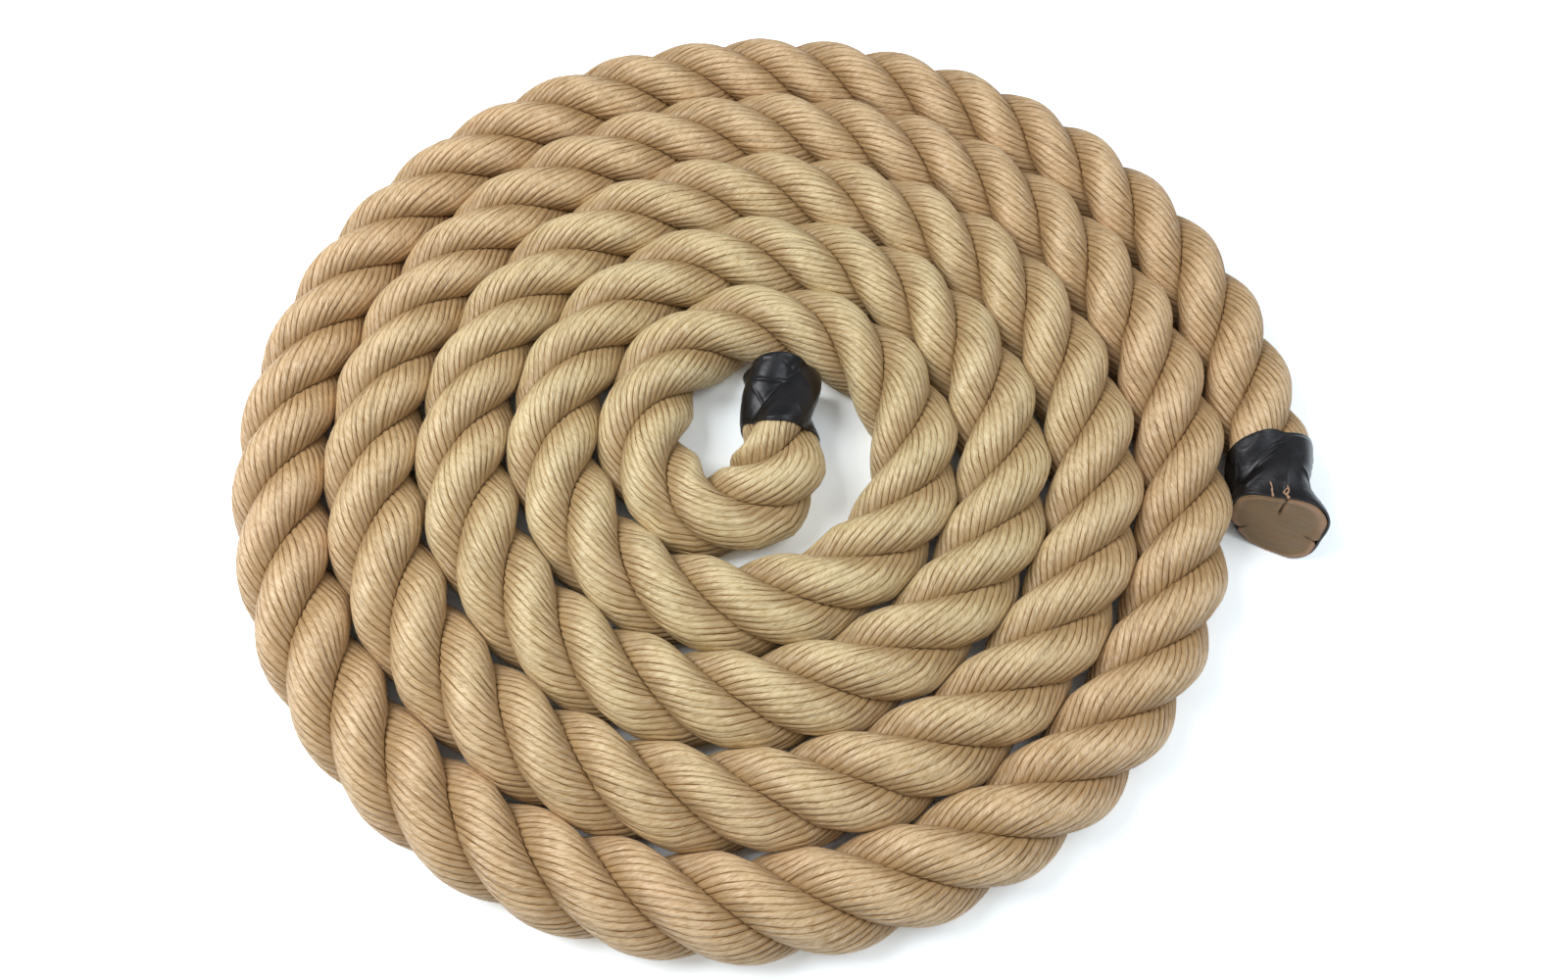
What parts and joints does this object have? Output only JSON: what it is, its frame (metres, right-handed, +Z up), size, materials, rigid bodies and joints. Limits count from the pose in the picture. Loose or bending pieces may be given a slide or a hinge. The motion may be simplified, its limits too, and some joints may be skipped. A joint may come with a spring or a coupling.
{
  "type": "coiled climbing rope",
  "caption": "Thick laid rope of synthetic hemp, coiled in a flat spiral, with both ends heat-sealed and bound in black tape",
  "frame": {"origin": "middle of the coil's outline seen from above, on the surface that the coil lies on", "axes": "+Z up; +X towards the side where the outer end lies, along the coil's longest extent; -Y towards the viewer, the way the outer cut face points"},
  "size_m": [0.4494, 0.4304, 0.0385],
  "materials": {
    "rope": "silky beige split-film yarn, laid",
    "tape": "glossy black vinyl tape, wrinkled",
    "sealed_fibre": "brown, melted and cut"
  },
  "bodies": {
    "root": {"strand_1": "rope", "strand_2": "rope", "strand_3": "rope", "inner_end_tape": "tape", "outer_end_tape": "tape", "inner_sealed_end": "sealed_fibre", "outer_sealed_end": "sealed_fibre"}
  },
  "joints": []
}
